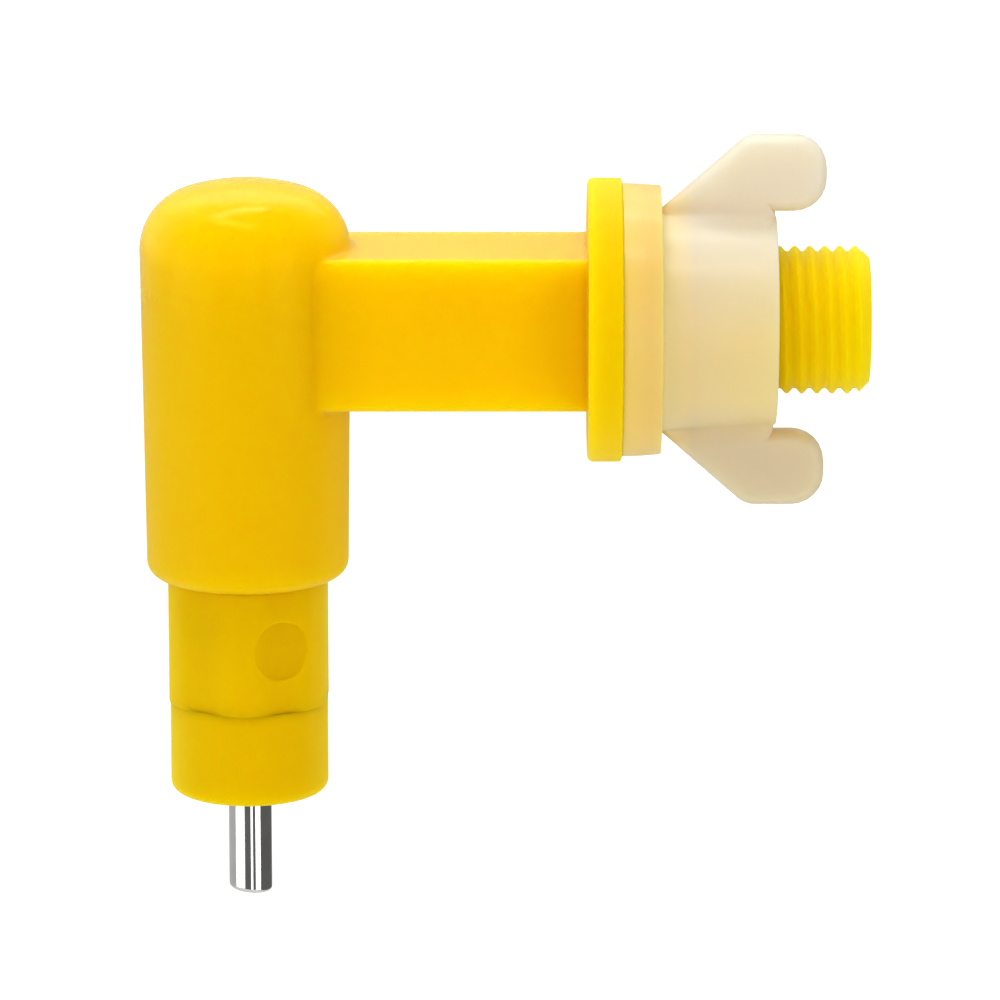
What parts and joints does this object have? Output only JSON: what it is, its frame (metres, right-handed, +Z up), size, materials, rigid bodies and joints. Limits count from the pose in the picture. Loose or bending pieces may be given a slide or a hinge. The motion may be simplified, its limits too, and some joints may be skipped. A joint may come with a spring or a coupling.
{
  "type": "poultry nipple drinker",
  "caption": "Plastic elbow drinker with a threaded spigot, wing nut and washer for a tank wall, and a ball valve opened by a steel trigger pin.",
  "frame": {"origin": "centre of the flange face that seals on the tank wall, on the spigot's axis", "axes": "+X along the spigot into the tank, +Z up; the barrel stands at -X and the trigger pin hangs down from it"},
  "size_m": [0.045, 0.0176, 0.0483],
  "materials": {
    "elbow_plastic": "glossy opaque yellow, injection moulded",
    "valve_plastic": "slightly deeper satin yellow, injection moulded",
    "nut_plastic": "uncoloured translucent plastic, satin",
    "washer_silicone": "uncoloured translucent silicone",
    "seal_rubber": "black sealing rubber, inside",
    "polished_steel": "polished stainless steel"
  },
  "bodies": {
    "elbow": {"elbow_body": "elbow_plastic", "valve_body": "valve_plastic", "lower_cap": "valve_plastic", "plug_o_ring": "seal_rubber", "pin_seat_ring": "seal_rubber", "ball_seat_ring": "seal_rubber"},
    "ball": {"valve_ball": "polished_steel"},
    "pin": {"trigger_pin": "polished_steel"},
    "washer": {"sealing_washer": "washer_silicone"},
    "nut": {"wing_nut": "nut_plastic"}
  },
  "joints": [
    {"name": "valve_lift", "type": "slide", "parent": "elbow", "child": "ball", "axis": [0, 0, 1], "range_m": [0, 0.001]},
    {"name": "pin_tilt", "type": "hinge", "parent": "ball", "child": "pin", "pos_m": [-0.0232, 0, -0.02541], "axis": [0, 1, 0], "range_deg": [-6, 6]},
    {"name": "washer_slide", "type": "slide", "parent": "elbow", "child": "washer", "axis": [1, 0, 0], "range_m": [0, 0.01302]},
    {"name": "nut_turn", "type": "hinge", "parent": "washer", "child": "nut", "pos_m": [0.0023, 0, 0], "axis": [1, 0, 0], "range_deg": [0, 5042]}
  ],
  "couplings": [
    {"joint": "nut_turn", "follows": "washer_slide", "rad_per_m": 6756.1}
  ]
}
